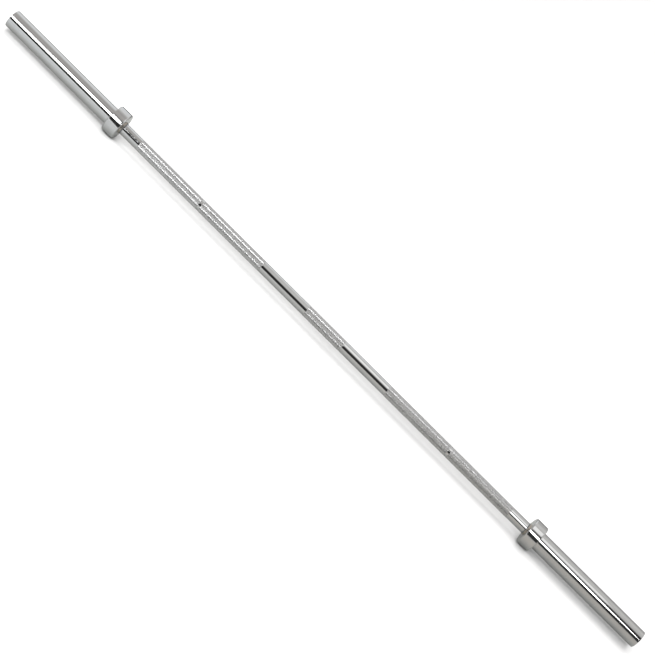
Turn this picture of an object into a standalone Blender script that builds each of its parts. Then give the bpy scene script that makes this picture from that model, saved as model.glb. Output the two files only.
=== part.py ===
"""A 20 kg barbell: one turned shaft with a rotating sleeve on each end.

The bar lies along X with its middle at the origin, in metres, +Z up. Each sleeve turns on two
bronze bushings and is held on the shaft's journal by an eared snap ring.
"""
import math

import bmesh
import bpy
from mathutils import Matrix

# Driving dimensions along the bar
BAR_LENGTH = 2.200
COLLAR_SPAN = 1.421            # between the two collars' inner faces
COLLAR_THICKNESS = 0.0375
CENTRE_KNURL_LENGTH = 0.126
OUTER_KNURL_START = 0.220      # from the bar's middle
OUTER_KNURL_END = 0.649
RING_MARK_SPACING = 0.872
RING_MARK_WIDTH = 0.0055

# Driving radii
KNURL_RADIUS = 0.0160          # over the knurl's crests
SMOOTH_RADIUS = 0.0158
RING_MARK_RADIUS = 0.0157
JOURNAL_RADIUS = 0.0125
SLEEVE_RADIUS = 0.0250
COLLAR_RADIUS = 0.0390

# Gaps: between seated pieces, and round the turning journal
SEAT = 0.0003
RUNNING = 0.0003

# Bushings and the bores that hold them
BUSHING_RADIUS = 0.0155
BUSHING_BORE = JOURNAL_RADIUS + RUNNING
BUSHING_POCKET = BUSHING_RADIUS + SEAT
INNER_BUSHING_DEPTH = 0.048
OUTER_BUSHING_LENGTH = 0.040
FLANGE_RADIUS = 0.0175
FLANGE_THICKNESS = 0.0025
GREASE_BORE = 0.0150
EDGE_BREAK = 0.0005            # the small chamfer on turned edges

# Thrust washers, wave washer and snap ring on the journal
INNER_WASHER_RADIUS = 0.0165
INNER_WASHER_THICKNESS = 0.0015
OUTER_WASHER_RADIUS = 0.0170
OUTER_WASHER_THICKNESS = 0.0020
WAVE_WASHER_RADIUS = 0.0165
WAVE_WASHER_THICKNESS = 0.0005
WAVE_HEIGHT = 0.0019
WAVE_COUNT = 3
SNAP_RING_THICKNESS = 0.0015
SNAP_GROOVE_RADIUS = 0.0113

# The sleeve's outer end, with its cap
WASHER_RECESS_RADIUS = 0.0190
CAP_SEAT_RADIUS = 0.0205
CAP_SEAT_DEPTH = 0.0140
WASHER_RECESS_DEPTH = 0.0200
CAP_THICKNESS = 0.0056
CAP_WEB = 0.0025
CAP_DISH_RADIUS = 0.0145
CAP_RING_THICKNESS = 0.0015
CAP_GROOVE_RADIUS = 0.0220
JOURNAL_STICKS_OUT = 0.0120    # past the outer bushing, into the recess

# Edges
COLLAR_EDGE_RADIUS = 0.0040
SLEEVE_END_RADIUS = 0.0020
SHOULDER_CHAMFER = 0.0010
JOURNAL_CHAMFER = 0.0015
UNDERCUT_DEPTH = 0.0003
UNDERCUT_WIDTH = 0.0020
LAND_STEP = 0.0004             # length of the small ramp at a knurl's end

# Centre drilling in the shaft's ends
CENTRE_MOUTH_RADIUS = 0.0040
CENTRE_PILOT_RADIUS = 0.0016
CENTRE_PILOT_LENGTH = 0.0060
CENTRE_CONE_HALF_ANGLE = math.radians(30)

# Facets round each turned piece
SHAFT_SIDES = 32
SLEEVE_SIDES = 48
COLLAR_SIDES = 48
SMALL_SIDES = 32
WAVE_SIDES = 30
FILLET_STEPS = 3
SHARP_ANGLE = math.radians(35)

# Places worked out along one end, measured outwards from the collar's inner face
SLEEVE_LENGTH = (BAR_LENGTH - COLLAR_SPAN) / 2
CAP_SEAT = SLEEVE_LENGTH - CAP_SEAT_DEPTH
WASHER_RECESS = CAP_SEAT - WASHER_RECESS_DEPTH
OUTER_POCKET = WASHER_RECESS - OUTER_BUSHING_LENGTH
FLANGE_FACE = -SEAT - FLANGE_THICKNESS
INNER_WASHER_PLACE = FLANGE_FACE - SEAT - INNER_WASHER_THICKNESS
SHOULDER = INNER_WASHER_PLACE - SEAT
OUTER_WASHER_PLACE = WASHER_RECESS + SEAT
WAVE_WASHER_PLACE = OUTER_WASHER_PLACE + OUTER_WASHER_THICKNESS + SEAT
SNAP_RING_PLACE = WAVE_WASHER_PLACE + WAVE_HEIGHT + SEAT
JOURNAL_END = WASHER_RECESS + JOURNAL_STICKS_OUT
CAP_PLACE = CAP_SEAT + SEAT
CAP_RING_PLACE = CAP_PLACE + CAP_THICKNESS + 2 * SEAT


def clear_scene():
    """Remove the objects the file opened with."""
    for thing in list(bpy.data.objects):
        bpy.data.objects.remove(thing, do_unlink=True)


def metal(name, colour, roughness):
    """Make one metal's Principled material."""
    material = bpy.data.materials.new(name)
    material.use_nodes = True
    shader = material.node_tree.nodes["Principled BSDF"]
    shader.inputs["Base Color"].default_value = (*colour, 1.0)
    shader.inputs["Metallic"].default_value = 1.0
    shader.inputs["Roughness"].default_value = roughness
    return material


def empty(name, location, turn=0.0, parent=None):
    """Add a plain frame that carries the pieces of one end."""
    frame = bpy.data.objects.new(name, None)
    frame.location = location
    frame.rotation_euler = (0.0, 0.0, turn)
    frame.parent = parent
    frame.empty_display_size = 0.05
    bpy.context.scene.collection.objects.link(frame)
    return frame


def place(name, mesh, parent, along=0.0):
    """Add a piece that uses a mesh, at a distance along its parent's X axis."""
    piece = bpy.data.objects.new(name, mesh)
    piece.parent = parent
    piece.location = (along, 0.0, 0.0)
    bpy.context.scene.collection.objects.link(piece)
    return piece


def finished_mesh(name, bm, material):
    """Turn a bmesh into a smooth-shaded mesh with its faces pointing out."""
    bmesh.ops.recalc_face_normals(bm, faces=bm.faces)
    mesh = bpy.data.meshes.new(name)
    bm.to_mesh(mesh)
    bm.free()
    mesh.materials.append(material)
    mesh.shade_smooth()
    mesh.set_sharp_from_angle(angle=SHARP_ANGLE)
    return mesh


def turned(name, outline, sides, material, ring=True):
    """Revolve an outline of (x, radius) points about X, as a lathe would cut it.

    A ring's outline closes on itself. A solid's outline starts and ends on the axis. The piece is
    turned by half a facet, so that it has flats at its top, bottom and sides.
    """
    bm = bmesh.new()
    verts = [bm.verts.new((x, 0.0, radius)) for x, radius in outline]
    edges = [bm.edges.new(pair) for pair in zip(verts, verts[1:])]
    if ring:
        edges.append(bm.edges.new((verts[-1], verts[0])))
    bmesh.ops.rotate(bm, verts=verts, cent=(0, 0, 0), matrix=half_facet(sides))
    bmesh.ops.spin(bm, geom=verts + edges, cent=(0, 0, 0), axis=(1, 0, 0),
                   angle=math.tau, steps=sides, use_merge=True)
    bmesh.ops.remove_doubles(bm, verts=bm.verts, dist=1e-7)
    return finished_mesh(name, bm, material)


def half_facet(sides):
    """The turn about X that brings a facet's middle to the top."""
    return Matrix.Rotation(math.pi / sides, 3, "X")


def fillet(x, radius, toward_x, toward_radius, size, steps=FILLET_STEPS):
    """Round an outline's outer corner with an arc, from its x side to its radius side.

    toward_x is +1 or -1: the way that the corner's flat face looks. toward_radius is the order of
    the arc's points: +1 climbs from the face to the turned surface, -1 runs down to the face.
    """
    centre_x = x - toward_x * size
    centre_radius = radius - size
    angles = [math.pi / 2 * step / steps for step in range(steps + 1)]
    arc = [(centre_x + toward_x * size * math.cos(a), centre_radius + size * math.sin(a))
           for a in angles]
    return arc if toward_radius > 0 else arc[::-1]


def mirrored(outline):
    """Follow an outline of the bar's right half with its left half, end to end."""
    return [(-x, radius) for x, radius in reversed(outline)] + outline


def centre_drilling(end):
    """The outline of a centre-drilled hole, from the shaft's end face to the axis."""
    cone = (CENTRE_MOUTH_RADIUS - CENTRE_PILOT_RADIUS) / math.tan(CENTRE_CONE_HALF_ANGLE)
    pilot = end - cone - CENTRE_PILOT_LENGTH
    return [
        (end, CENTRE_MOUTH_RADIUS),
        (end - cone, CENTRE_PILOT_RADIUS),
        (pilot, CENTRE_PILOT_RADIUS),
        (pilot - CENTRE_PILOT_RADIUS / 2, 0.0),
    ]


def ring_mark(middle):
    """The outline of one smooth ring mark, cut in a knurled stretch."""
    half = RING_MARK_WIDTH / 2
    return [
        (middle - half - LAND_STEP, KNURL_RADIUS),
        (middle - half, RING_MARK_RADIUS),
        (middle + half, RING_MARK_RADIUS),
        (middle + half + LAND_STEP, KNURL_RADIUS),
    ]


def snap_groove(start, end):
    """The outline of the groove that the journal's snap ring sits in."""
    return [
        (start, JOURNAL_RADIUS),
        (start, SNAP_GROOVE_RADIUS),
        (end, SNAP_GROOVE_RADIUS),
        (end, JOURNAL_RADIUS),
    ]


def shaft_mesh(material):
    """The one-piece shaft: grip with knurled lands, shoulders and turned-down journals."""
    half_span = COLLAR_SPAN / 2
    shoulder = half_span + SHOULDER
    groove = half_span + SNAP_RING_PLACE - SEAT
    end = half_span + JOURNAL_END
    centre_knurl = CENTRE_KNURL_LENGTH / 2
    right_half = [
        (centre_knurl, KNURL_RADIUS),
        (centre_knurl + LAND_STEP, SMOOTH_RADIUS),
        (OUTER_KNURL_START - LAND_STEP, SMOOTH_RADIUS),
        (OUTER_KNURL_START, KNURL_RADIUS),
        *ring_mark(RING_MARK_SPACING / 2),
        (OUTER_KNURL_END, KNURL_RADIUS),
        (OUTER_KNURL_END + LAND_STEP, SMOOTH_RADIUS),
        (shoulder - SHOULDER_CHAMFER, SMOOTH_RADIUS),
        (shoulder, SMOOTH_RADIUS - SHOULDER_CHAMFER),
        (shoulder, JOURNAL_RADIUS - UNDERCUT_DEPTH),
        (shoulder + UNDERCUT_WIDTH, JOURNAL_RADIUS - UNDERCUT_DEPTH),
        (shoulder + UNDERCUT_WIDTH + UNDERCUT_DEPTH, JOURNAL_RADIUS),
        *snap_groove(groove, groove + SNAP_RING_THICKNESS + 2 * SEAT),
        (end - JOURNAL_CHAMFER, JOURNAL_RADIUS),
        (end, JOURNAL_RADIUS - JOURNAL_CHAMFER),
        *centre_drilling(end),
    ]
    return turned("shaft", mirrored(right_half), SHAFT_SIDES, material, ring=False)


def sleeve_mesh(material):
    """The sleeve tube: bushing pockets, a grease bore between them, and the cap's stepped mouth."""
    mouth = SLEEVE_LENGTH
    cap_groove = CAP_RING_PLACE - SEAT
    cap_groove_end = cap_groove + CAP_RING_THICKNESS + 2 * SEAT
    outline = [
        (0.0, SLEEVE_RADIUS - EDGE_BREAK),
        (EDGE_BREAK, SLEEVE_RADIUS),
        *fillet(mouth, SLEEVE_RADIUS, +1, -1, SLEEVE_END_RADIUS, steps=2),
        (mouth, CAP_SEAT_RADIUS + EDGE_BREAK),
        (mouth - EDGE_BREAK, CAP_SEAT_RADIUS),
        (cap_groove_end, CAP_SEAT_RADIUS),
        (cap_groove_end, CAP_GROOVE_RADIUS),
        (cap_groove, CAP_GROOVE_RADIUS),
        (cap_groove, CAP_SEAT_RADIUS),
        (CAP_SEAT, CAP_SEAT_RADIUS),
        (CAP_SEAT, WASHER_RECESS_RADIUS),
        (WASHER_RECESS, WASHER_RECESS_RADIUS),
        (WASHER_RECESS, BUSHING_POCKET),
        (OUTER_POCKET, BUSHING_POCKET),
        (OUTER_POCKET, GREASE_BORE),
        (INNER_BUSHING_DEPTH, GREASE_BORE),
        (INNER_BUSHING_DEPTH, BUSHING_POCKET),
        (EDGE_BREAK, BUSHING_POCKET),
        (0.0, BUSHING_POCKET + EDGE_BREAK),
    ]
    return turned("sleeve", outline, SLEEVE_SIDES, material)


def collar_mesh(material):
    """The collar: a thick ring with rounded rims, shrunk on the sleeve's inner end."""
    bore = SLEEVE_RADIUS + SEAT
    outline = [
        (0.0, bore + EDGE_BREAK),
        *fillet(0.0, COLLAR_RADIUS, -1, +1, COLLAR_EDGE_RADIUS),
        *fillet(COLLAR_THICKNESS, COLLAR_RADIUS, +1, -1, COLLAR_EDGE_RADIUS),
        (COLLAR_THICKNESS, bore + EDGE_BREAK),
        (COLLAR_THICKNESS - EDGE_BREAK, bore),
        (EDGE_BREAK, bore),
    ]
    return turned("collar", outline, COLLAR_SIDES, material)


def inner_bushing_mesh(material):
    """The flanged bushing: its flange takes the thrust between the shoulder and the sleeve."""
    tail = INNER_BUSHING_DEPTH - SEAT
    outline = [
        (FLANGE_FACE, BUSHING_BORE + EDGE_BREAK),
        (FLANGE_FACE, FLANGE_RADIUS - EDGE_BREAK),
        (FLANGE_FACE + EDGE_BREAK, FLANGE_RADIUS),
        (-SEAT, FLANGE_RADIUS),
        (-SEAT, BUSHING_RADIUS),
        (tail - EDGE_BREAK, BUSHING_RADIUS),
        (tail, BUSHING_RADIUS - EDGE_BREAK),
        (tail, BUSHING_BORE),
        (FLANGE_FACE + EDGE_BREAK, BUSHING_BORE),
    ]
    return turned("inner_bushing", outline, SMALL_SIDES, material)


def outer_bushing_mesh(material):
    """The plain bushing near the sleeve's outer end, chamfered for pressing in."""
    length = OUTER_BUSHING_LENGTH - SEAT
    outline = [
        (0.0, BUSHING_BORE),
        (0.0, BUSHING_RADIUS - EDGE_BREAK),
        (EDGE_BREAK, BUSHING_RADIUS),
        (length - EDGE_BREAK, BUSHING_RADIUS),
        (length, BUSHING_RADIUS - EDGE_BREAK),
        (length, BUSHING_BORE),
    ]
    return turned("outer_bushing", outline, SMALL_SIDES, material)


def washer_mesh(name, radius, thickness, material):
    """A flat thrust washer that runs on the journal."""
    outline = [
        (0.0, BUSHING_BORE),
        (0.0, radius),
        (thickness, radius),
        (thickness, BUSHING_BORE),
    ]
    return turned(name, outline, SMALL_SIDES, material)


def wave_washer_mesh(material):
    """A spring washer: a thin flat ring, bent into even waves round its circle."""
    thin = WAVE_WASHER_THICKNESS
    outline = [
        (0.0, BUSHING_BORE),
        (0.0, WAVE_WASHER_RADIUS),
        (thin, WAVE_WASHER_RADIUS),
        (thin, BUSHING_BORE),
    ]
    mesh = turned("wave_washer", outline, WAVE_SIDES, material)
    swing = (WAVE_HEIGHT - thin) / 2
    for vert in mesh.vertices:
        around = math.atan2(vert.co.y, vert.co.z)
        vert.co.x += swing * (1 + math.cos(WAVE_COUNT * around))
    return mesh


def cap_mesh(material):
    """The end cap: a pressed disc with a raised rim and a shallow dish on both faces."""
    rim = CAP_SEAT_RADIUS - SEAT
    dish = CAP_DISH_RADIUS
    step = (CAP_THICKNESS - CAP_WEB) / 2
    outline = [
        (step, 0.0),
        (step, dish - step),
        (0.0, dish),
        (0.0, rim),
        (CAP_THICKNESS - EDGE_BREAK, rim),
        (CAP_THICKNESS, rim - EDGE_BREAK),
        (CAP_THICKNESS, dish),
        (CAP_THICKNESS - step, dish - step),
        (CAP_THICKNESS - step, 0.0),
    ]
    return turned("end_cap", outline, SMALL_SIDES, material, ring=False)


def ring_band(seat, outward, gap, ear, width, ear_depth):
    """The outline of an open snap ring, as (angle, radius) points round the Z axis.

    seat is the edge that sits in the groove, and outward is +1 on a shaft's ring and -1 on a
    bore's. The band is widest opposite its gap and has a round ear at each end. gap and ear are
    half the gap's angle and one ear's angle, and width is the band's least and greatest width.
    """
    least, most = width
    arc_steps = 22
    ear_steps = 6
    band_start = gap + ear
    lobe = [math.pi * step / ear_steps for step in range(ear_steps + 1)]
    ear_arc = [(gap + ear * (1 - math.cos(a)) / 2, least + (ear_depth - least) * math.sin(a))
               for a in lobe]
    points = []
    for step in range(arc_steps + 1):
        angle = gap + (math.tau - 2 * gap) * step / arc_steps
        points.append((angle, seat))
    points += [(math.tau - angle, seat + outward * height) for angle, height in ear_arc]
    for step in range(1, arc_steps):
        angle = math.tau - band_start - (math.tau - 2 * band_start) * step / arc_steps
        swell = (1 - math.cos(angle)) / 2
        points.append((angle, seat + outward * (least + (most - least) * swell)))
    points += [(angle, seat + outward * height) for angle, height in reversed(ear_arc)]
    return points


def add_outline(curve, points):
    """Add one closed straight-sided loop to a flat curve."""
    spline = curve.splines.new("POLY")
    spline.points.add(len(points) - 1)
    for slot, (x, y) in zip(spline.points, points):
        slot.co = (x, y, 0.0, 1.0)
    spline.use_cyclic_u = True


def snap_ring_mesh(name, seat, outward, thickness, material):
    """An eared snap ring: a flat curve with two plier holes, extruded to its thickness."""
    gap = math.radians(12)
    ear_length = 0.0050
    ear_depth = 0.0054
    hole_radius = 0.0011
    ear = ear_length / seat
    band = ring_band(seat, outward, gap, ear, (0.0027, 0.0042), ear_depth)
    curve = bpy.data.curves.new(name + "_outline", "CURVE")
    curve.dimensions = "2D"
    curve.fill_mode = "BOTH"
    curve.extrude = thickness / 2
    add_outline(curve, [(radius * math.cos(a), radius * math.sin(a)) for a, radius in band])
    hole_distance = seat + outward * ear_depth * 0.6
    for side in (-1, 1):
        middle = side * (gap + ear / 2)
        hole = [(hole_distance * math.cos(middle) + hole_radius * math.cos(math.tau * k / 10),
                 hole_distance * math.sin(middle) + hole_radius * math.sin(math.tau * k / 10))
                for k in range(10)]
        add_outline(curve, hole)
    flat = bpy.data.objects.new(name + "_outline", curve)
    bm = bmesh.new()
    bm.from_mesh(flat.to_mesh())
    bpy.data.objects.remove(flat)
    bmesh.ops.remove_doubles(bm, verts=bm.verts, dist=1e-6)
    for vert in bm.verts:
        across, up, along = vert.co
        vert.co = (along + thickness / 2, across, up)
    return finished_mesh(name, bm, material)


def build():
    """Make every piece once, then seat it on both ends of the shaft."""
    clear_scene()
    chrome = metal("bright_chrome", (0.80, 0.80, 0.80), 0.07)
    knurled_chrome = metal("knurled_chrome", (0.66, 0.66, 0.65), 0.28)
    bronze = metal("bearing_bronze", (0.46, 0.29, 0.15), 0.35)
    zinc_steel = metal("zinc_plated_steel", (0.55, 0.56, 0.57), 0.30)
    spring_steel = metal("spring_steel", (0.10, 0.10, 0.11), 0.40)

    place("shaft", shaft_mesh(knurled_chrome), None)
    turning = (
        ("sleeve", sleeve_mesh(chrome), 0.0),
        ("collar", collar_mesh(chrome), 0.0),
        ("inner_bushing", inner_bushing_mesh(bronze), 0.0),
        ("outer_bushing", outer_bushing_mesh(bronze), OUTER_POCKET + SEAT),
        ("end_cap", cap_mesh(chrome), CAP_PLACE),
        ("cap_ring", snap_ring_mesh("cap_ring", CAP_GROOVE_RADIUS - SEAT, -1,
                                    CAP_RING_THICKNESS, spring_steel), CAP_RING_PLACE),
    )
    standing = (
        ("inner_thrust_washer", washer_mesh("inner_thrust_washer", INNER_WASHER_RADIUS,
                                            INNER_WASHER_THICKNESS, zinc_steel),
         INNER_WASHER_PLACE),
        ("outer_thrust_washer", washer_mesh("outer_thrust_washer", OUTER_WASHER_RADIUS,
                                            OUTER_WASHER_THICKNESS, zinc_steel),
         OUTER_WASHER_PLACE),
        ("wave_washer", wave_washer_mesh(spring_steel), WAVE_WASHER_PLACE),
        ("snap_ring", snap_ring_mesh("snap_ring", SNAP_GROOVE_RADIUS + SEAT, +1,
                                     SNAP_RING_THICKNESS, spring_steel), SNAP_RING_PLACE),
    )
    for side, turn in (("right", 0.0), ("left", math.pi)):
        end = empty("end_" + side, (0.0, 0.0, 0.0), turn)
        journal = empty("journal_" + side, (COLLAR_SPAN / 2, 0.0, 0.0), parent=end)
        sleeve_axis = empty("sleeve_axis_" + side, (COLLAR_SPAN / 2, 0.0, 0.0), parent=end)
        for name, mesh, along in turning:
            place(name + "_" + side, mesh, sleeve_axis, along)
        for name, mesh, along in standing:
            place(name + "_" + side, mesh, journal, along)


build()
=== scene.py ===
"""A chromed steel barbell, 2.2 m long, lying on a white studio floor.

The bar is turned from one piece, with diamond knurling on its grip. A sleeve turns on each end.
All sizes are in metres. The bar lies along X with its middle at the origin, and Z is up.
"""
import math

import bmesh
import bpy
import numpy as np
from mathutils import Matrix, Vector


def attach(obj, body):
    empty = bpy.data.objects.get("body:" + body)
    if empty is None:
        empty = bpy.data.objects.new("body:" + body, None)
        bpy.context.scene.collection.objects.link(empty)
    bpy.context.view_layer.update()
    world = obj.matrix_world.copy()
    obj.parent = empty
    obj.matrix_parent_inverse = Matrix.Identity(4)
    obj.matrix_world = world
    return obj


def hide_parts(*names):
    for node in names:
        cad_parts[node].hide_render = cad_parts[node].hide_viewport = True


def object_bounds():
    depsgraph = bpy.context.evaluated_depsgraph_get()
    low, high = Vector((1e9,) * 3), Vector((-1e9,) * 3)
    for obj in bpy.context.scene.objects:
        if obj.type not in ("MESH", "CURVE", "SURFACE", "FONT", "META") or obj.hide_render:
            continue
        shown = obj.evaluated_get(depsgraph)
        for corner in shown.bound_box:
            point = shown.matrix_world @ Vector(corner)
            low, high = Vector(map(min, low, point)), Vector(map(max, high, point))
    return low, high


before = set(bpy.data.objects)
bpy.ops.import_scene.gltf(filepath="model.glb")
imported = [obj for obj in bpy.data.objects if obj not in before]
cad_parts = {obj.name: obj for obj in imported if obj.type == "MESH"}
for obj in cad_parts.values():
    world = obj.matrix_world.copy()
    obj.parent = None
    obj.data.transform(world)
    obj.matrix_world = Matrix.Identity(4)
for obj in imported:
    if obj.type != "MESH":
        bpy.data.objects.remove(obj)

cad_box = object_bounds()


# The camera
# A long lens, about 5 m from the bar and well above it, rolled so that the bar runs from corner to
# corner. It stands a hand's width to the right of the bar's middle.
CAMERA_DISTANCE = 4.8
CAMERA_ELEVATION = math.radians(27)
CAMERA_TO_THE_RIGHT = 0.042
CAMERA_ROLL = math.radians(44.82)
SENSOR_WIDTH = 36              # millimetres
PHOTO_SIZE = 655               # pixels
BAR_IN_PHOTO = 882.4           # pixels, end to end
BAR_MIDDLE_IN_PHOTO = (324.57, 328.35)


def add_object(name, data):
    """Put a new object in the scene."""
    thing = bpy.data.objects.new(name, data)
    bpy.context.scene.collection.objects.link(thing)
    return thing


bar_length = cad_box[1].x - cad_box[0].x
metres_per_pixel = bar_length / BAR_IN_PHOTO
eye = Vector((
    CAMERA_TO_THE_RIGHT,
    -CAMERA_DISTANCE * math.cos(CAMERA_ELEVATION),
    CAMERA_DISTANCE * math.sin(CAMERA_ELEVATION),
))
level_right = Vector((1, 0, 0))
level_up = level_right.cross(-eye).normalized()
photo_right = level_right * math.cos(CAMERA_ROLL) + level_up * math.sin(CAMERA_ROLL)
photo_up = level_up * math.cos(CAMERA_ROLL) - level_right * math.sin(CAMERA_ROLL)
aim = (photo_right * (PHOTO_SIZE / 2 - BAR_MIDDLE_IN_PHOTO[0])
       + photo_up * (BAR_MIDDLE_IN_PHOTO[1] - PHOTO_SIZE / 2)) * metres_per_pixel
back = (eye - aim).normalized()
right = photo_up.cross(back).normalized()
up = back.cross(right)

camera = add_object("camera", bpy.data.cameras.new("camera"))
camera.data.sensor_width = SENSOR_WIDTH
camera.data.lens = CAMERA_DISTANCE / metres_per_pixel / PHOTO_SIZE * SENSOR_WIDTH
camera.matrix_world = Matrix.Translation(eye) @ Matrix((right, up, back)).transposed().to_4x4()
bpy.context.scene.camera = camera
bpy.context.scene.view_settings.view_transform = "Standard"


# The floor
# Pale paint on a smooth studio floor, lit so brightly that it comes out blank. The bar rests on
# it by its two collars. What the chrome mirrors of it is a darker copy with painted shade, greyer
# to the right, where it is less lit, and with a painted shadow close to the bar.
FLOOR_SIZE = 60.0
FLOOR_PAINT = "#C7C7C7"
FLOOR_PAINT_LIGHT = "#CBCBCB"
# Painted shade: the floor paint as the chrome sees it is darker than the floor, and greyer to the
# right.
MIRRORED_SHADED_LEFT = "#ACAEAF"
MIRRORED_SHADED_RIGHT = "#9F9C97"
MIRRORED_SHADE_FADE = (-1.0, 0.6)              # along X
MIRRORED_NEAR_SHADOW = "#959694"                # painted shadow close to the bar, where its shadow lies
MIRRORED_NEAR_SHADOW_FADE = (-0.09, -0.02)      # along Y
MIRRORED_LIFT = 0.0002                   # keeps the two sheets apart
SAME_STOP = 1e-6                         # stops of a colour ramp that are closer are one


def colour(code):
    """Turn an sRGB hex code into a linear colour with alpha."""
    parts = [int(code[place:place + 2], 16) / 255 for place in (1, 3, 5)]
    return tuple(p / 12.92 if p <= 0.04045 else ((p + 0.055) / 1.055) ** 2.4 for p in parts) + (1,)


def add_node(tree, kind, inputs=None, stops=None, **settings):
    """Add a node, with its settings, its inputs' values or links, and a ramp's colour stops."""
    node = tree.nodes.new(kind)
    for name, value in settings.items():
        setattr(node, name, value)
    for socket, value in (inputs or {}).items():
        if isinstance(value, bpy.types.NodeSocket):
            tree.links.new(value, node.inputs[socket])
        else:
            node.inputs[socket].default_value = value
    for place, shade in stops or []:
        points = node.color_ramp.elements
        found = [p for p in points if abs(p.position - place) < SAME_STOP]
        point = found[0] if found else points.new(place)
        point.color = shade
    return node


def new_material(name, **constants):
    """Make a material with one Principled shader, and set the shader's own sockets."""
    material = bpy.data.materials.new(name)
    material.use_nodes = True
    shader = material.node_tree.nodes["Principled BSDF"]
    for socket, value in constants.items():
        shader.inputs[socket.replace("_", " ")].default_value = value
    return material, material.node_tree, shader


def floor_sheet(name, height, material):
    """Lay one flat square under the bar."""
    half = FLOOR_SIZE / 2
    mesh = bpy.data.meshes.new(name)
    mesh.from_pydata([(-half, -half, height), (half, -half, height), (half, half, height),
                      (-half, half, height)], [], [(0, 1, 2, 3)])
    mesh.materials.append(material)
    sheet = add_object(name, mesh)
    return sheet


floor_height = cad_box[0].z

# Matt floor paint: even and pale, with faint patches from the roller and no gloss at all.
floor_paint, tree, shader = new_material("pale_floor_paint", Roughness=0.9)
shader.inputs["Specular IOR Level"].default_value = 0.0
patches = add_node(tree, "ShaderNodeTexNoise", {
    "Scale": 220.0,            # patches of about 270 mm, on a sheet of 60 m
    "Detail": 4.0,
})
paint = add_node(tree, "ShaderNodeMix", {
    "Factor": patches.outputs["Fac"],
    "A": colour(FLOOR_PAINT),
    "B": colour(FLOOR_PAINT_LIGHT),
}, data_type="RGBA")
tree.links.new(paint.outputs["Result"], shader.inputs["Base Color"])

# The same paint as the chrome shows it, with painted shade: grey, darker to the right, and with a
# painted shadow close to the bar.
shaded_mirrored_paint, tree, shader = new_material("floor_paint_with_painted_shade_in_the_chrome", Roughness=0.9)
shader.inputs["Specular IOR Level"].default_value = 0.0
place = add_node(tree, "ShaderNodeTexCoord")
split = add_node(tree, "ShaderNodeSeparateXYZ", {"Vector": place.outputs["Object"]})
fade = add_node(tree, "ShaderNodeMapRange", {
    "Value": split.outputs["X"],
    "From Min": MIRRORED_SHADE_FADE[0],
    "From Max": MIRRORED_SHADE_FADE[1],
})
paint = add_node(tree, "ShaderNodeMix", {
    "Factor": fade.outputs["Result"],
    "A": colour(MIRRORED_SHADED_LEFT),
    "B": colour(MIRRORED_SHADED_RIGHT),
}, data_type="RGBA")
# Painted shadow: the paint darkens towards the bar along Y.
painted_shadow_near_bar = add_node(tree, "ShaderNodeMapRange", {
    "Value": split.outputs["Y"],
    "From Min": MIRRORED_NEAR_SHADOW_FADE[0],
    "From Max": MIRRORED_NEAR_SHADOW_FADE[1],
})
paint = add_node(tree, "ShaderNodeMix", {
    "Factor": painted_shadow_near_bar.outputs["Result"],
    "A": paint.outputs["Result"],
    "B": colour(MIRRORED_NEAR_SHADOW),
}, data_type="RGBA")
tree.links.new(paint.outputs["Result"], shader.inputs["Base Color"])

floor = floor_sheet("floor", floor_height, floor_paint)
floor.visible_glossy = False
mirrored_floor = floor_sheet("floor_in_the_chrome", floor_height + MIRRORED_LIFT, shaded_mirrored_paint)
mirrored_floor.visible_camera = False
mirrored_floor.visible_diffuse = False
mirrored_floor.visible_shadow = False


# The light
# Two softboxes stand left and right of the camera over two low white panels, and a third hangs over
# the bar's right half, in a studio that is dark behind the camera and white behind the bar. Two far
# lamps, overhead and in front, and a fill on the left keep the floor blank and make its shadows.
LEFT_SOFTBOX_RADIANCE = 12.0   # times the floor's white
RIGHT_SOFTBOX_RADIANCE = 10.0
TOP_SOFTBOX_RADIANCE = 0.65
LEFT_FILL_RADIANCE = 2.6
LOW_PANEL_LEFT_RADIANCE = 1.25
LOW_PANEL_RIGHT_RADIANCE = 0.4
# Places are x, degrees above the front horizon, distance from the bar, width and height.
LEFT_SOFTBOX = (-2.00, 40, 3.0, 1.60, 0.96)
RIGHT_SOFTBOX = (1.26, 37.5, 3.0, 0.96, 0.69)
TOP_SOFTBOX = (0.76, 77, 2.7, 1.50, 1.35)
LEFT_FILL = (-1.3, 41, 3.0, 1.30, 1.20)
LOW_PANEL_LEFT = (-2.6, 2.6, 3.6, 2.60, 0.30)
LOW_PANEL_RIGHT = (2.4, 2.2, 3.6, 2.60, 0.25)
FILL_SPREAD = math.pi / 2
LAMPS = (                      # degrees above the front horizon, spread in degrees, strength
    ("lamp_overhead", 92, 60, 1.97),
    ("lamp_in_front", 42, 30, 2.02),
)
DARK = "#363636"
LEFT_ROOM = (                  # degrees from the front horizon, over the top; grey level
    (0, DARK), (54, DARK), (61, "#B3AFAC"), (78, "#C5C1BE"), (94, "#BAB6B4"), (105, "#CCC9C7"),
    (115, "#E8E7E6"), (126, "#FBFBFB"), (150, "#F5F6F7"), (180, "#F5F7FA"),
)
MIDDLE_ROOM = (
    (0, DARK), (41, DARK), (51, "#E4E2E0"), (78, "#E8E6E4"), (95, "#DDDCDA"), (112, "#EAE9E8"),
    (130, "#F6F6F6"), (180, "#FAFAFB"),
)
RIGHT_ROOM = (
    (0, DARK), (54, DARK), (63, "#D8D6D4"), (100, "#DEDCDA"), (114, "#E8E6E4"), (126, "#E0DEDC"),
    (136, "#CECCCA"), (146, "#C3C1BF"), (180, "#C9C7C5"),
)
FAR_RIGHT_ROOM = (
    (0, DARK), (62, DARK), (76, "#D8D6D4"), (100, "#DEDCDA"), (114, "#E8E6E4"), (126, "#E0DEDC"),
    (136, "#CECCCA"), (146, "#C3C1BF"), (180, "#C9C7C5"),
)
ROOM_STRENGTH = 1.2
LEFT_BLEND = (-0.17, -0.03)    # sideways reach of the change from each room to the next
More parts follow.
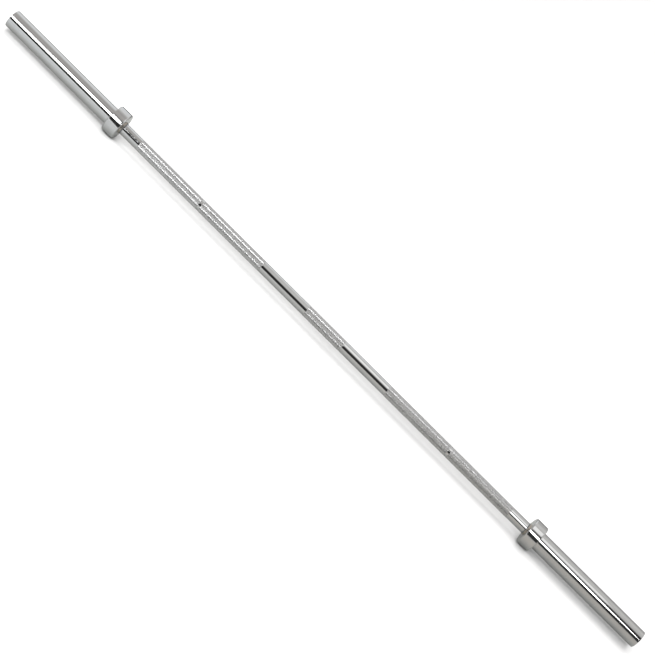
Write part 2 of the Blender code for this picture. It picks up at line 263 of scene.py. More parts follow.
RIGHT_BLEND = (0.02, 0.14)
FAR_RIGHT_BLEND = (0.145, 0.190)


def ramp_stops(room):
    """Turn angles over the bar into places along a ramp that runs from front to back."""
    return [((1 - math.cos(math.radians(angle))) / 2, colour(shade)) for angle, shade in room]


world = bpy.data.worlds.new("studio")
world.use_nodes = True
bpy.context.scene.world = world
tree = world.node_tree
place = add_node(tree, "ShaderNodeTexCoord")
split = add_node(tree, "ShaderNodeSeparateXYZ", {"Vector": place.outputs["Generated"]})
front_to_back = add_node(tree, "ShaderNodeMapRange", {
    "Value": split.outputs["Y"],
    "From Min": -1.0,          # straight to the front, where 1 is straight to the back
})
rooms = [add_node(tree, "ShaderNodeValToRGB", {"Fac": front_to_back.outputs["Result"]},
                  stops=ramp_stops(room)).outputs["Color"]
         for room in (LEFT_ROOM, MIDDLE_ROOM, RIGHT_ROOM, FAR_RIGHT_ROOM)]
seen = rooms[0]
for room, (start, end) in zip(rooms[1:], (LEFT_BLEND, RIGHT_BLEND, FAR_RIGHT_BLEND)):
    sideways = add_node(tree, "ShaderNodeMapRange", {
        "Value": split.outputs["X"],
        "From Min": start,
        "From Max": end,
    })
    seen = add_node(tree, "ShaderNodeMix", {
        "Factor": sideways.outputs["Result"],
        "A": seen,
        "B": room,
    }, data_type="RGBA").outputs["Result"]
tree.links.new(seen, tree.nodes["Background"].inputs["Color"])
tree.nodes["Background"].inputs["Strength"].default_value = ROOM_STRENGTH


def softbox(name, place, radiance, shape="RECTANGLE"):
    """Hang one softbox that faces the bar's axis."""
    x, degrees, distance, width, height = place
    angle = math.radians(degrees)
    light = bpy.data.lights.new(name, "AREA")
    light.shape = shape
    light.size = width
    light.size_y = height
    area = width * height * (math.pi / 4 if shape == "ELLIPSE" else 1)
    light.energy = radiance * math.pi * area
    box = add_object(name, light)
    box.location = (x, -distance * math.cos(angle), distance * math.sin(angle))
    box.rotation_euler = (math.pi / 2 - angle, 0, 0)
    box.visible_camera = False
    return box


softbox("softbox_left", LEFT_SOFTBOX, LEFT_SOFTBOX_RADIANCE)
softbox("softbox_right", RIGHT_SOFTBOX, RIGHT_SOFTBOX_RADIANCE, "ELLIPSE")
softbox("softbox_top", TOP_SOFTBOX, TOP_SOFTBOX_RADIANCE)
softbox("low_panel_left", LOW_PANEL_LEFT, LOW_PANEL_LEFT_RADIANCE)
softbox("low_panel_right", LOW_PANEL_RIGHT, LOW_PANEL_RIGHT_RADIANCE)
left_fill = softbox("left_fill", LEFT_FILL, LEFT_FILL_RADIANCE)
left_fill.data.spread = FILL_SPREAD
left_fill.visible_glossy = False

for name, degrees, spread, strength in LAMPS:
    lamp = add_object(name, bpy.data.lights.new(name, "SUN"))
    lamp.data.energy = strength
    lamp.data.angle = math.radians(spread)
    lamp.rotation_euler = (math.pi / 2 - math.radians(degrees), 0, 0)
    lamp.visible_glossy = False


# The flag
# A grey cloth that stands behind the bar, out of the picture. The chrome mirrors it as the dark
# line along its upper edge, and as a horizon on its back.
FLAG_DISTANCE = 4.0
FLAG_WIDTH = 11.0
FLAG_HEIGHT = 1.0
CLOTH = "#464646"
CLOTH_LIGHT = "#585858"

# Grey cloth: dull and dark. Its weave is drawn far coarser than real, to show at this distance.
grey_cloth, tree, shader = new_material("grey_cloth", Roughness=1.0)
shader.inputs["Specular IOR Level"].default_value = 0.0
place = add_node(tree, "ShaderNodeTexCoord")
weave = add_node(tree, "ShaderNodeTexNoise", {
    "Vector": place.outputs["Object"],
    "Scale": 60.0,             # threads of about 17 mm
    "Detail": 3.0,
})
cloth = add_node(tree, "ShaderNodeMix", {
    "Factor": weave.outputs["Fac"],
    "A": colour(CLOTH),
    "B": colour(CLOTH_LIGHT),
}, data_type="RGBA")
tree.links.new(cloth.outputs["Result"], shader.inputs["Base Color"])

flag_top = floor_height + FLAG_HEIGHT
flag_mesh = bpy.data.meshes.new("flag")
flag_mesh.from_pydata([
    (-FLAG_WIDTH / 2, FLAG_DISTANCE, floor_height),
    (FLAG_WIDTH / 2, FLAG_DISTANCE, floor_height),
    (FLAG_WIDTH / 2, FLAG_DISTANCE, flag_top),
    (-FLAG_WIDTH / 2, FLAG_DISTANCE, flag_top),
], [], [(0, 1, 2, 3)])
flag_mesh.materials.append(grey_cloth)
flag = add_object("flag", flag_mesh)
flag.visible_camera = False
flag.visible_diffuse = False
flag.visible_shadow = False


# The shaft
# One steel bar, turned on a lathe and chromed. Two knurled grips with a ring mark in each, and a
# short centre knurl, stand between polished stretches. Inside the sleeves it steps down to a
# ground journal, with a groove for the snap ring and a centre drilling in its end.
KNURL_RADIUS = 0.0160
KNURL_DEPTH = 0.000275
KNURL_SINKS = 0.00012          # how far below the smooth stretch a knurl's first row starts
DIAMONDS_ROUND = 72            # as coarse as it has to be to show: the real knurl has about 85
DIAMOND_SLOPE = math.radians(23.6)
DIAMOND_LEAN = -0.26           # turn from row to row, in sides: one set of grooves is steeper
FLAT_CREST = (0.65, 0.75)      # shares of its height, over which a diamond turns flat
CENTRE_KNURL = 0.063           # half of its length
OUTER_KNURL = (0.220, 0.649)
RING_MARK_PLACE = 0.436
RING_MARK_WIDTH = 0.0063
RING_MARK_RADIUS = 0.0157
SMOOTH_RADIUS = 0.0158
LAND_STEP = 0.0004
SHOULDER = 0.7056
SHOULDER_CHAMFER = 0.0010
JOURNAL_RADIUS = 0.0125
UNDERCUT_DEPTH = 0.0003
UNDERCUT_WIDTH = 0.0020
SNAP_GROOVE = (1.0705, 1.0726)
SNAP_GROOVE_RADIUS = 0.0113
JOURNAL_END = 1.0780
JOURNAL_CHAMFER = 0.0015
CENTRE_DRILLING = ((0.0, 0.0040), (0.00416, 0.0016), (0.01016, 0.0016), (0.0108, 0.0002))
SUPPORT = 0.0004               # width of the narrow faces that keep the shading straight
LONG_STRETCH = 6 * SUPPORT     # the least length that gets them
SHARP_ANGLE = math.radians(32)
SHAFT_SIDES = 2 * DIAMONDS_ROUND
CHROME = "#C4C5C5"
CHROME_HAZE = "#B9BABA"
KNURL_CREST = "#CFD0D1"
KNURL_VALLEY_SHADE = "#B2B2B2"


def supported(outline):
    """Add a point close to both ends of each long straight stretch of an outline."""
    points = [outline[0]]
    for (x0, r0), (x1, r1) in zip(outline, outline[1:]):
        length = math.hypot(x1 - x0, r1 - r0)
        if length > LONG_STRETCH:
            share = SUPPORT / length
            points.append((x0 + (x1 - x0) * share, r0 + (r1 - r0) * share))
            points.append((x1 + (x0 - x1) * share, r1 + (r0 - r1) * share))
        points.append((x1, r1))
    return points


def plain_rings(outline):
    """Rings of even radius for a plainly turned stretch of the shaft."""
    return [(x, np.full(SHAFT_SIDES, radius), False) for x, radius in supported(outline)]


def knurled_rings(start, end):
    """Rings of a knurled stretch, where crests and valleys take turns along it and round it."""
    row_step = math.tau * KNURL_RADIUS / SHAFT_SIDES / math.tan(DIAMOND_SLOPE)
    rows = round((end - start) / row_step)
    side = np.arange(SHAFT_SIDES)
    edge = np.full(SHAFT_SIDES, SMOOTH_RADIUS - KNURL_SINKS)
    rings = []
    for row in range(rows + 1):
        x = start + (end - start) * row / rows
        radii = np.where((row + side) % 2 == 0, KNURL_RADIUS, KNURL_RADIUS - KNURL_DEPTH)
        if row in (0, rows):
            radii = np.minimum(radii, edge)
        rings.append((x, radii, True))
    return rings


def mirrored(outline):
    """The same outline on the bar's left half, from left to right."""
    return [(-x, radius) for x, radius in reversed(outline)]


def shaft_rings():
    """All rings of the shaft from its left end to its right end."""
    end = [
        (OUTER_KNURL[1] + LAND_STEP, SMOOTH_RADIUS),
        (SHOULDER - SHOULDER_CHAMFER, SMOOTH_RADIUS),
        (SHOULDER, SMOOTH_RADIUS - SHOULDER_CHAMFER),
        (SHOULDER, JOURNAL_RADIUS - UNDERCUT_DEPTH),
        (SHOULDER + UNDERCUT_WIDTH, JOURNAL_RADIUS - UNDERCUT_DEPTH),
        (SHOULDER + UNDERCUT_WIDTH + UNDERCUT_DEPTH, JOURNAL_RADIUS),
        (SNAP_GROOVE[0], JOURNAL_RADIUS),
        (SNAP_GROOVE[0], SNAP_GROOVE_RADIUS),
        (SNAP_GROOVE[1], SNAP_GROOVE_RADIUS),
        (SNAP_GROOVE[1], JOURNAL_RADIUS),
        (JOURNAL_END - JOURNAL_CHAMFER, JOURNAL_RADIUS),
        (JOURNAL_END, JOURNAL_RADIUS - JOURNAL_CHAMFER),
        *((JOURNAL_END - depth, radius) for depth, radius in CENTRE_DRILLING),
    ]
    grip = [(CENTRE_KNURL + LAND_STEP, SMOOTH_RADIUS), (OUTER_KNURL[0] - LAND_STEP, SMOOTH_RADIUS)]
    near = RING_MARK_PLACE - RING_MARK_WIDTH / 2
    far = RING_MARK_PLACE + RING_MARK_WIDTH / 2
    mark = [(near, RING_MARK_RADIUS), (far, RING_MARK_RADIUS)]
    return [
        *plain_rings(mirrored(end)),
        *knurled_rings(-OUTER_KNURL[1], -far - LAND_STEP),
        *plain_rings(mirrored(mark)),
        *knurled_rings(-near + LAND_STEP, -OUTER_KNURL[0]),
        *plain_rings(mirrored(grip)),
        *knurled_rings(-CENTRE_KNURL, CENTRE_KNURL),
        *plain_rings(grip),
        *knurled_rings(OUTER_KNURL[0], near - LAND_STEP),
        *plain_rings(mark),
        *knurled_rings(far + LAND_STEP, OUTER_KNURL[1]),
        *plain_rings(end),
    ]


def shaft_mesh(materials):
    """Skin the shaft's rings: smooth quads where it is plain, flat facets where it is knurled."""
    rings = shaft_rings()
    angle = math.tau * np.arange(SHAFT_SIDES) / SHAFT_SIDES
    points = []
    was_knurled = False
    for x, radii, knurled in rings:
        if knurled and was_knurled:
            angle = angle + DIAMOND_LEAN * math.tau / SHAFT_SIDES
        was_knurled = knurled
        points += np.stack([np.full(SHAFT_SIDES, x), radii * np.sin(angle),
                            radii * np.cos(angle)], axis=1).tolist()
    faces = [list(range(SHAFT_SIDES)), list(range(len(points) - SHAFT_SIDES, len(points)))[::-1]]
    knurled_faces = [False, False]
    for step, (near, far) in enumerate(zip(rings, rings[1:])):
        rough = near[2] or far[2]
        for side in range(SHAFT_SIDES):
            following = (side + 1) % SHAFT_SIDES
            here = step * SHAFT_SIDES + side
            beside = step * SHAFT_SIDES + following
            ahead = here + SHAFT_SIDES
            across = beside + SHAFT_SIDES
            if not rough:
                faces.append((here, ahead, across, beside))
            elif near[1][side] + far[1][following] > near[1][following] + far[1][side]:
                faces += [(here, ahead, beside), (ahead, across, beside)]
            else:
                faces += [(here, ahead, across), (here, across, beside)]
        knurled_faces += [rough] * (len(faces) - len(knurled_faces))
    mesh = bpy.data.meshes.new("shaft")
    mesh.from_pydata(points, [], faces)
    for material in materials:
        mesh.materials.append(material)
    mesh.polygons.foreach_set("material_index", [int(k) for k in knurled_faces])
    mesh.set_sharp_from_angle(angle=SHARP_ANGLE)
    mesh.polygons.foreach_set("use_smooth", [not k for k in knurled_faces])
    return mesh


# Hard chrome over polished steel: a grey mirror with a trace of haze and of fingers.
polished_chrome, tree, shader = new_material("polished_hard_chrome", Metallic=1.0)
place = add_node(tree, "ShaderNodeTexCoord")
haze = add_node(tree, "ShaderNodeTexNoise", {
    "Vector": place.outputs["Object"],
    "Scale": 45.0,             # clouds of about 20 mm
    "Detail": 3.0,
})
tint = add_node(tree, "ShaderNodeMix", {
    "Factor": haze.outputs["Fac"],
    "A": colour(CHROME),
    "B": colour(CHROME_HAZE),
}, data_type="RGBA")
tree.links.new(tint.outputs["Result"], shader.inputs["Base Color"])
fingers = add_node(tree, "ShaderNodeTexNoise", {
    "Vector": place.outputs["Object"],
    "Scale": 110.0,            # smudges of about 9 mm
    "Detail": 5.0,
    "Roughness": 0.6,
})
smudge = add_node(tree, "ShaderNodeMapRange", {
    "Value": fingers.outputs["Fac"],
    "From Min": 0.35,
    "From Max": 0.8,
    "To Min": 0.045,
    "To Max": 0.13,
})
tree.links.new(smudge.outputs["Result"], shader.inputs["Roughness"])
stretch = add_node(tree, "ShaderNodeMapping", {
    "Vector": place.outputs["Object"],
    "Scale": (700.0, 40.0, 40.0),      # grinding rings 1.4 mm apart: real ones are too fine to show
})
rings = add_node(tree, "ShaderNodeTexNoise", {"Vector": stretch.outputs["Vector"], "Scale": 1.0})
ground = add_node(tree, "ShaderNodeBump", {
    "Height": rings.outputs["Fac"],
    "Strength": 0.2,
    "Distance": 0.00001,
})
tree.links.new(ground.outputs["Normal"], shader.inputs["Normal"])

# Knurled steel under chrome: bright worn crests over dull valleys, painted darker down in the
# valleys as shade.
knurled_chrome, tree, shader = new_material("knurled_hard_chrome", Metallic=1.0)
place = add_node(tree, "ShaderNodeTexCoord")
flatten = add_node(tree, "ShaderNodeVectorMath", {
    0: place.outputs["Object"],
    1: (0.0, 1.0, 1.0),
}, operation="MULTIPLY")
radius = add_node(tree, "ShaderNodeVectorMath", {0: flatten.outputs["Vector"]}, operation="LENGTH")
height = add_node(tree, "ShaderNodeMapRange", {
    "Value": radius.outputs["Value"],
    "From Min": KNURL_RADIUS - KNURL_DEPTH,
    "From Max": KNURL_RADIUS,
})
# Painted shade: the colour darkens from the crests down into the valleys.
crest_to_valley_shade = add_node(tree, "ShaderNodeMix", {
    "Factor": height.outputs["Result"],
    "A": colour(KNURL_VALLEY_SHADE),
    "B": colour(KNURL_CREST),
}, data_type="RGBA")
tree.links.new(crest_to_valley_shade.outputs["Result"], shader.inputs["Base Color"])
grime = add_node(tree, "ShaderNodeTexNoise", {
    "Vector": place.outputs["Object"],
    "Scale": 160.0,            # patches of about 6 mm, where hands have dulled it
    "Detail": 4.0,
})
polish = add_node(tree, "ShaderNodeMapRange", {
    "Value": height.outputs["Result"],
    "To Min": 0.25,
    "To Max": 0.20,
})
dulled = add_node(tree, "ShaderNodeMath", {
    0: grime.outputs["Fac"],
    1: 0.08,
    2: polish.outputs["Result"],
}, operation="MULTIPLY_ADD")
tree.links.new(dulled.outputs["Value"], shader.inputs["Roughness"])
worn_flat = add_node(tree, "ShaderNodeMapRange", {
    "Value": height.outputs["Result"],
    "From Min": FLAT_CREST[0],
    "From Max": FLAT_CREST[1],
})
facing = add_node(tree, "ShaderNodeMix", {
    "Factor": worn_flat.outputs["Result"],
    "A": place.outputs["Normal"],
    "B": add_node(tree, "ShaderNodeVectorMath", {0: flatten.outputs["Vector"]},
                  operation="NORMALIZE").outputs["Vector"],
}, data_type="VECTOR")
turned_round = add_node(tree, "ShaderNodeVectorTransform", {"Vector": facing.outputs["Result"]},
                        vector_type="NORMAL", convert_from="OBJECT", convert_to="WORLD")
tree.links.new(turned_round.outputs["Vector"], shader.inputs["Normal"])

shaft = add_object("chromed_shaft", shaft_mesh([polished_chrome, knurled_chrome]))
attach(shaft, "shaft")
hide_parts("shaft")


# The sleeves
# A steel tube on each end that takes the plates and turns on the shaft. It is bored in steps for
# its bushings, washers and cap, turned to 50 mm, chromed, and rounded at its mouth.
ENDS = (("left", -1), ("right", 1))
COLLAR_FACE = 0.7105           # from the bar's middle; places on an end are measured from here
SLEEVE_LENGTH = 0.3895
SLEEVE_RADIUS = 0.0250
SLEEVE_END_RADIUS = 0.0020
EDGE_BREAK = 0.0005
BUSHING_POCKET = 0.0158
INNER_POCKET_END = 0.048
OUTER_POCKET = 0.3155
GREASE_BORE = 0.0150
WASHER_RECESS = 0.3555
WASHER_RECESS_RADIUS = 0.0190
CAP_SEAT = 0.3755
CAP_SEAT_RADIUS = 0.0205
CAP_GROOVE = (0.3817, 0.3838)
CAP_GROOVE_RADIUS = 0.0220
TURNED_SIDES = 160
FILLET_STEPS = 7


def fillet(x, radius, looks, climbs, size):
    """Round an outer corner of an outline. looks is +1 or -1, the way its flat face looks along
    the bar, and climbs is true where the outline runs from that face to the turned surface."""
    angles = [math.pi / 2 * step / FILLET_STEPS for step in range(FILLET_STEPS + 1)]
    arc = [(x - looks * size * (1 - math.cos(a)), radius - size * (1 - math.sin(a)))
           for a in angles]
    return arc if climbs else arc[::-1]


def turned(name, outline, material, direction, place=0.0, ring=True, sides=TURNED_SIDES):
    """Turn an outline of (place, radius) points about the bar, on the end that direction says.
    A ring's outline closes on itself. Without ring it is a disc's, and flat faces close its ends."""
    outline = supported(outline + outline[:1])[:-1] if ring else supported(outline)
    bm = bmesh.new()
    hoops = []
    for x, radius in outline:
        along = direction * (COLLAR_FACE + place + x)
        hoops.append([bm.verts.new((along, radius * math.sin(math.tau * side / sides),
                                    radius * math.cos(math.tau * side / sides)))
                      for side in range(sides)])
    for near, far in zip(hoops, hoops[1:] + hoops[:1] if ring else hoops[1:]):
        for side in range(sides):
            beside = (side + 1) % sides
            bm.faces.new((near[side], far[side], far[beside], near[beside]))
    if not ring:
        bm.faces.new(hoops[0])
        bm.faces.new(hoops[-1])
    bmesh.ops.recalc_face_normals(bm, faces=bm.faces)
    mesh = bpy.data.meshes.new(name)
    bm.to_mesh(mesh)
    bm.free()
    mesh.materials.append(material)
    mesh.shade_smooth()
    mesh.set_sharp_from_angle(angle=SHARP_ANGLE)
    return add_object(name, mesh)


# Hard chrome that plates have slid over: fine scratches run along it, and dull it a little.
sleeve_chrome, tree, shader = new_material("plate_worn_hard_chrome", Metallic=1.0)
place = add_node(tree, "ShaderNodeTexCoord")
haze = add_node(tree, "ShaderNodeTexNoise", {
    "Vector": place.outputs["Object"],
    "Scale": 30.0,             # clouds of about 33 mm
    "Detail": 3.0,
})
tint = add_node(tree, "ShaderNodeMix", {
    "Factor": haze.outputs["Fac"],
    "A": colour(CHROME),
    "B": colour(CHROME_HAZE),
}, data_type="RGBA")
tree.links.new(tint.outputs["Result"], shader.inputs["Base Color"])
stretch = add_node(tree, "ShaderNodeMapping", {
    "Vector": place.outputs["Object"],
    "Scale": (14.0, 900.0, 900.0),     # scratches 70 mm long and 1.1 mm wide: coarser than real
})
scratches = add_node(tree, "ShaderNodeTexNoise", {
    "Vector": stretch.outputs["Vector"],
    "Scale": 1.0,
    "Detail": 3.0,
})
scuffed = add_node(tree, "ShaderNodeMapRange", {
    "Value": scratches.outputs["Fac"],
    "From Min": 0.5,
    "From Max": 0.8,
    "To Min": 0.05,
    "To Max": 0.16,
})
tree.links.new(scuffed.outputs["Result"], shader.inputs["Roughness"])
scored = add_node(tree, "ShaderNodeBump", {
    "Height": scratches.outputs["Fac"],
    "Strength": 0.15,
    "Distance": 0.00002,
})
tree.links.new(scored.outputs["Normal"], shader.inputs["Normal"])

sleeve_outline = [
    (0.0, SLEEVE_RADIUS - EDGE_BREAK),
    (EDGE_BREAK, SLEEVE_RADIUS),
    *fillet(SLEEVE_LENGTH, SLEEVE_RADIUS, +1, False, SLEEVE_END_RADIUS),
    (SLEEVE_LENGTH, CAP_SEAT_RADIUS + EDGE_BREAK),
    (SLEEVE_LENGTH - EDGE_BREAK, CAP_SEAT_RADIUS),
    (CAP_GROOVE[1], CAP_SEAT_RADIUS),
    (CAP_GROOVE[1], CAP_GROOVE_RADIUS),
    (CAP_GROOVE[0], CAP_GROOVE_RADIUS),
    (CAP_GROOVE[0], CAP_SEAT_RADIUS),
    (CAP_SEAT, CAP_SEAT_RADIUS),
    (CAP_SEAT, WASHER_RECESS_RADIUS),
    (WASHER_RECESS, WASHER_RECESS_RADIUS),
    (WASHER_RECESS, BUSHING_POCKET),
    (OUTER_POCKET, BUSHING_POCKET),
    (OUTER_POCKET, GREASE_BORE),
    (INNER_POCKET_END, GREASE_BORE),
    (INNER_POCKET_END, BUSHING_POCKET),
    (EDGE_BREAK, BUSHING_POCKET),
    (0.0, BUSHING_POCKET + EDGE_BREAK),
]
for end, direction in ENDS:
    sleeve = turned("plate_sleeve_" + end, sleeve_outline, sleeve_chrome, direction)
    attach(sleeve, "sleeve_" + end)
    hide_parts("sleeve_" + end)


# The collars
# A thick steel ring on each sleeve's inner end, turned with round rims and shrunk on. Plates stop
# against its outer face, and the bar lies on its rim, which both scuff it.
COLLAR_THICKNESS = 0.0375
COLLAR_RADIUS = 0.0389
COLLAR_EDGE_RADIUS = 0.0040
COLLAR_BORE = 0.02505          # tight on the sleeve

# Hard chrome with scuffed rims: dull specks and rubs lie over the mirror.
collar_chrome, tree, shader = new_material("scuffed_hard_chrome", Metallic=1.0)
place = add_node(tree, "ShaderNodeTexCoord")
haze = add_node(tree, "ShaderNodeTexNoise", {
    "Vector": place.outputs["Object"],
    "Scale": 60.0,             # clouds of about 17 mm
    "Detail": 4.0,
})
tint = add_node(tree, "ShaderNodeMix", {
    "Factor": haze.outputs["Fac"],
    "A": colour(CHROME),
    "B": colour(CHROME_HAZE),
}, data_type="RGBA")
tree.links.new(tint.outputs["Result"], shader.inputs["Base Color"])
rubs = add_node(tree, "ShaderNodeTexNoise", {
    "Vector": place.outputs["Object"],
    "Scale": 400.0,            # rubs of about 2.5 mm
    "Detail": 5.0,
    "Roughness": 0.7,
})
dull = add_node(tree, "ShaderNodeMapRange", {
    "Value": rubs.outputs["Fac"],
    "From Min": 0.5,
    "From Max": 0.75,
    "To Min": 0.05,
    "To Max": 0.22,
})
tree.links.new(dull.outputs["Result"], shader.inputs["Roughness"])
dents = add_node(tree, "ShaderNodeBump", {
    "Height": rubs.outputs["Fac"],
    "Strength": 0.2,
    "Distance": 0.00003,
})
tree.links.new(dents.outputs["Normal"], shader.inputs["Normal"])

collar_outline = [
    (0.0, COLLAR_BORE + EDGE_BREAK),
    *fillet(0.0, COLLAR_RADIUS, -1, True, COLLAR_EDGE_RADIUS),
    *fillet(COLLAR_THICKNESS, COLLAR_RADIUS, +1, False, COLLAR_EDGE_RADIUS),
    (COLLAR_THICKNESS, COLLAR_BORE + EDGE_BREAK),
    (COLLAR_THICKNESS - EDGE_BREAK, COLLAR_BORE),
    (EDGE_BREAK, COLLAR_BORE),
]
for end, direction in ENDS:
    collar = turned("stop_collar_" + end, collar_outline, collar_chrome, direction)
    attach(collar, "sleeve_" + end)
    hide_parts("collar_" + end)


# The bushings
# Two in each sleeve, machined from oil-soaked bronze and pressed in. The inner one has a flange,
# which takes the thrust and shows as a thin grey-brown ring at the collar's face.
BUSHING_RADIUS = 0.0155
BUSHING_BORE = 0.0128
FLANGE_FACE = -0.0028
FLANGE_BACK = -0.0001
FLANGE_RADIUS = 0.0175
INNER_BUSHING_END = 0.0477
BUSHING_SIDES = 96
BRONZE = "#CDC5BA"
BRONZE_OILED = "#A39B91"

# Bearing bronze: a dull grey-brown, clouded and half glossy where oil stands in its pores.
bronze, tree, shader = new_material("oiled_bearing_bronze", Metallic=1.0)
place = add_node(tree, "ShaderNodeTexCoord")
pores = add_node(tree, "ShaderNodeTexNoise", {
    "Vector": place.outputs["Object"],
    "Scale": 500.0,            # oily patches of about 2 mm
    "Detail": 5.0,
})
oiled = add_node(tree, "ShaderNodeMix", {
    "Factor": pores.outputs["Fac"],
    "A": colour(BRONZE),
    "B": colour(BRONZE_OILED),
}, data_type="RGBA")
tree.links.new(oiled.outputs["Result"], shader.inputs["Base Color"])
film = add_node(tree, "ShaderNodeMapRange", {
    "Value": pores.outputs["Fac"],
    "To Min": 0.45,
    "To Max": 0.2,
})
tree.links.new(film.outputs["Result"], shader.inputs["Roughness"])
pitted = add_node(tree, "ShaderNodeBump", {
    "Height": pores.outputs["Fac"],
    "Strength": 0.3,
    "Distance": 0.0001,
})
tree.links.new(pitted.outputs["Normal"], shader.inputs["Normal"])

inner_bushing_outline = [
    (FLANGE_FACE, BUSHING_BORE + EDGE_BREAK),
    (FLANGE_FACE, FLANGE_RADIUS - EDGE_BREAK),
    (FLANGE_FACE + EDGE_BREAK, FLANGE_RADIUS),
    (FLANGE_BACK, FLANGE_RADIUS),
    (FLANGE_BACK, BUSHING_RADIUS),
    (INNER_BUSHING_END - EDGE_BREAK, BUSHING_RADIUS),
    (INNER_BUSHING_END, BUSHING_RADIUS - EDGE_BREAK),
    (INNER_BUSHING_END, BUSHING_BORE),
    (FLANGE_FACE + EDGE_BREAK, BUSHING_BORE),
]
for end, direction in ENDS:
    bushing = turned("flanged_bushing_" + end, inner_bushing_outline, bronze, direction,
                     sides=BUSHING_SIDES)
    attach(bushing, "sleeve_" + end)
    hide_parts("inner_bushing_" + end)
    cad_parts["outer_bushing_" + end].material_slots[0].material = bronze


# The thrust washers
# Two flat steel washers on each journal, stamped and zinc plated. They keep the bronze off the
# shaft's shoulder and off the spring.
INNER_WASHER = (-0.0046, 0.0015, 0.0165)     # place, thickness, radius
OUTER_WASHER = (0.3558, 0.0020, 0.0170)
ZINC = "#A9ADB0"
ZINC_CLOUD = "#7F8488"

# Zinc plate: bluish grey and half bright, clouded like thin frost.
zinc_plate, tree, shader = new_material("zinc_plated_steel", Metallic=1.0)
place = add_node(tree, "ShaderNodeTexCoord")
clouds = add_node(tree, "ShaderNodeTexNoise", {
    "Vector": place.outputs["Object"],
    "Scale": 350.0,            # clouds of about 3 mm
    "Detail": 4.0,
})
clouded = add_node(tree, "ShaderNodeMix", {
    "Factor": clouds.outputs["Fac"],
    "A": colour(ZINC),
    "B": colour(ZINC_CLOUD),
}, data_type="RGBA")
tree.links.new(clouded.outputs["Result"], shader.inputs["Base Color"])
frost = add_node(tree, "ShaderNodeMapRange", {
    "Value": clouds.outputs["Fac"],
    "To Min": 0.25,
    "To Max": 0.5,
})
tree.links.new(frost.outputs["Result"], shader.inputs["Roughness"])

for end, direction in ENDS:
    for which, (washer_place, thickness, radius) in (("inner", INNER_WASHER),
                                                     ("outer", OUTER_WASHER)):
        washer_outline = [
            (0.0, BUSHING_BORE),
            (0.0, radius - EDGE_BREAK / 2),
            (EDGE_BREAK / 2, radius),
            (thickness - EDGE_BREAK / 2, radius),
            (thickness, radius - EDGE_BREAK / 2),
            (thickness, BUSHING_BORE),
        ]
        washer = turned(f"{which}_washer_{end}", washer_outline, zinc_plate, direction,
                        washer_place, sides=BUSHING_SIDES)
        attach(washer, "shaft")
        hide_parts(f"{which}_thrust_washer_{end}")


# The springs and snap rings
# Stamped from hard spring steel and phosphated black. An eared ring in the journal's groove holds
# each sleeve on, over a waved washer, and a larger one in the sleeve's mouth holds the cap.
CAP_RING_PLACE = 0.3820
RING_THICKNESS = 0.0015
RING_SEAT = 0.0217             # radius of the edge that sits in the groove
RING_GAP = math.radians(12)    # half of it
RING_WIDTH = (0.0027, 0.0042)  # beside the gap and opposite it
EAR_LENGTH = 0.0050
EAR_DEPTH = 0.0054
EAR_HOLE_RADIUS = 0.0011
EAR_HOLE_DEPTH = EAR_DEPTH * 0.6         # from the edge in the groove to the hole's middle
BAND_STEPS = 90
EAR_STEPS = 14
HOLE_STEPS = 24
RING_EDGE = 0.0001
WELD = 0.000001                # joins the points of its faces and edges that coincide
PHOSPHATE = "#2B2B2D"
PHOSPHATE_RUBBED = "#55565A"

# Phosphated spring steel: dull black and oily, rubbed grey in places.
black_spring_steel, tree, shader = new_material("phosphated_spring_steel", Metallic=1.0)
place = add_node(tree, "ShaderNodeTexCoord")
grains = add_node(tree, "ShaderNodeTexNoise", {
    "Vector": place.outputs["Object"],
    "Scale": 700.0,            # patches of about 1.4 mm
    "Detail": 6.0,
})
rubbed = add_node(tree, "ShaderNodeValToRGB", {"Fac": grains.outputs["Fac"]},
                  stops=((0.0, colour(PHOSPHATE)), (0.55, colour(PHOSPHATE)),
                         (0.75, colour(PHOSPHATE_RUBBED)), (1.0, colour(PHOSPHATE_RUBBED))))
tree.links.new(rubbed.outputs["Color"], shader.inputs["Base Color"])
oil = add_node(tree, "ShaderNodeMapRange", {
    "Value": grains.outputs["Fac"],
    "To Min": 0.6,
    "To Max": 0.3,
})
tree.links.new(oil.outputs["Result"], shader.inputs["Roughness"])
stamped = add_node(tree, "ShaderNodeBump", {
    "Height": grains.outputs["Fac"],
    "Strength": 0.3,
    "Distance": 0.00005,
})
tree.links.new(stamped.outputs["Normal"], shader.inputs["Normal"])


def cap_ring_outline():
    """The band of the eared ring as (angle, radius) points: widest opposite its gap."""
    ear = EAR_LENGTH / RING_SEAT
    least, most = RING_WIDTH
    lobe = [math.pi * step / EAR_STEPS for step in range(EAR_STEPS + 1)]
    ear_arc = [(RING_GAP + ear * (1 - math.cos(a)) / 2, least + (EAR_DEPTH - least) * math.sin(a))
               for a in lobe]
    points = [(RING_GAP + (math.tau - 2 * RING_GAP) * step / BAND_STEPS, RING_SEAT)
              for step in range(BAND_STEPS + 1)]
    points += [(math.tau - angle, RING_SEAT - height) for angle, height in ear_arc]
    start = RING_GAP + ear
    for step in range(1, BAND_STEPS):
        angle = math.tau - start - (math.tau - 2 * start) * step / BAND_STEPS
        points.append((angle, RING_SEAT - least - (most - least) * (1 - math.cos(angle)) / 2))
    points += [(angle, RING_SEAT - height) for angle, height in reversed(ear_arc)]
    return points


def add_loop(curve, points):
    """Add one closed loop to a flat curve."""
    spline = curve.splines.new("POLY")
    spline.points.add(len(points) - 1)
    for point, (x, y) in zip(spline.points, points):
        point.co = (x, y, 0.0, 1.0)
    spline.use_cyclic_u = True


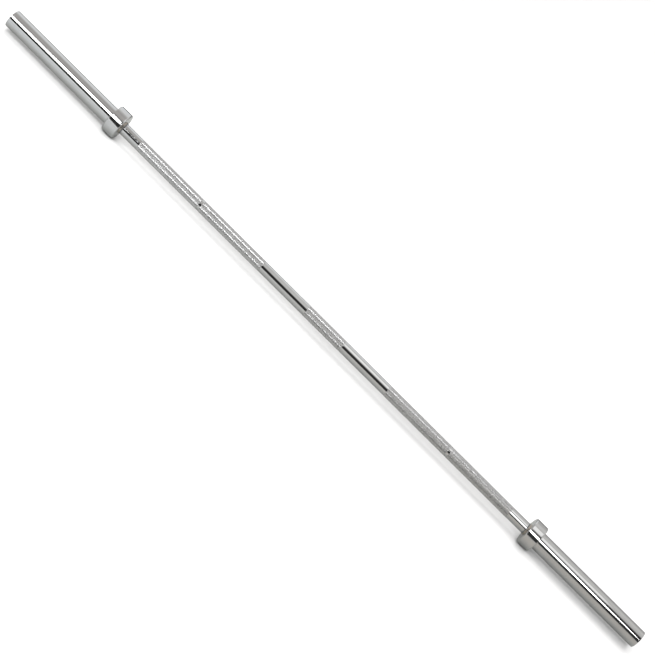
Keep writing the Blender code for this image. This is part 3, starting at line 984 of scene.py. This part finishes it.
def cap_ring(name, direction):
    """Stamp an eared ring from a flat outline with two plier holes."""
    curve = bpy.data.curves.new(name, "CURVE")
    curve.dimensions = "2D"
    curve.fill_mode = "BOTH"
    curve.extrude = RING_THICKNESS / 2 - RING_EDGE
    curve.bevel_depth = RING_EDGE
    curve.bevel_resolution = 2
    curve.offset = -RING_EDGE
    add_loop(curve, [(r * math.cos(a), r * math.sin(a)) for a, r in cap_ring_outline()])
    distance = RING_SEAT - EAR_HOLE_DEPTH
    for side in (-1, 1):
        middle = side * (RING_GAP + EAR_LENGTH / RING_SEAT / 2)
        turn = [math.tau * step / HOLE_STEPS for step in range(HOLE_STEPS)]
        add_loop(curve, [(distance * math.cos(middle) + EAR_HOLE_RADIUS * math.cos(a),
                          distance * math.sin(middle) + EAR_HOLE_RADIUS * math.sin(a))
                         for a in turn])
    flat = bpy.data.objects.new(name, curve)
    mesh = bpy.data.meshes.new_from_object(flat)
    bpy.data.objects.remove(flat)
    middle = COLLAR_FACE + CAP_RING_PLACE + RING_THICKNESS / 2
    bm = bmesh.new()
    bm.from_mesh(mesh)
    bmesh.ops.remove_doubles(bm, verts=bm.verts, dist=WELD)
    for vert in bm.verts:
        across, upward, along = vert.co
        vert.co = (direction * (along + middle), direction * across, upward)
    bmesh.ops.recalc_face_normals(bm, faces=bm.faces)
    bm.to_mesh(mesh)
    bm.free()
    mesh.materials.clear()
    mesh.materials.append(black_spring_steel)
    mesh.shade_smooth()
    mesh.set_sharp_from_angle(angle=SHARP_ANGLE)
    return add_object(name, mesh)


for end, direction in ENDS:
    ring = cap_ring("cap_snap_ring_" + end, direction)
    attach(ring, "sleeve_" + end)
    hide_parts("cap_ring_" + end)
    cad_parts["snap_ring_" + end].material_slots[0].material = black_spring_steel
    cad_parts["wave_washer_" + end].material_slots[0].material = black_spring_steel


# The end caps
# A disc pressed from steel sheet, with a flat rim round a shallow dish, and chromed. It closes the
# sleeve's mouth and keeps dust off the bushing.
CAP_PLACE = 0.3758
CAP_THICKNESS = 0.0056
CAP_WEB = 0.0025
CAP_RIM = 0.0204
CAP_DISH = 0.0145
CAP_DISH_ROUND = 0.0008

dish_depth = (CAP_THICKNESS - CAP_WEB) / 2
cap_outline = [
    (dish_depth, CAP_DISH - dish_depth - CAP_DISH_ROUND),
    (dish_depth - CAP_DISH_ROUND / 4, CAP_DISH - dish_depth),
    (CAP_DISH_ROUND / 4, CAP_DISH - CAP_DISH_ROUND / 4),
    (0.0, CAP_DISH + CAP_DISH_ROUND / 2),
    (0.0, CAP_RIM),
    *fillet(CAP_THICKNESS, CAP_RIM, +1, False, EDGE_BREAK),
    (CAP_THICKNESS, CAP_DISH + CAP_DISH_ROUND / 2),
    (CAP_THICKNESS - CAP_DISH_ROUND / 4, CAP_DISH - CAP_DISH_ROUND / 4),
    (CAP_THICKNESS - dish_depth + CAP_DISH_ROUND / 4, CAP_DISH - dish_depth),
    (CAP_THICKNESS - dish_depth, CAP_DISH - dish_depth - CAP_DISH_ROUND),
]
for end, direction in ENDS:
    cap = turned("pressed_cap_" + end, cap_outline, polished_chrome, direction, CAP_PLACE,
                 ring=False)
    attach(cap, "sleeve_" + end)
    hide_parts("end_cap_" + end)
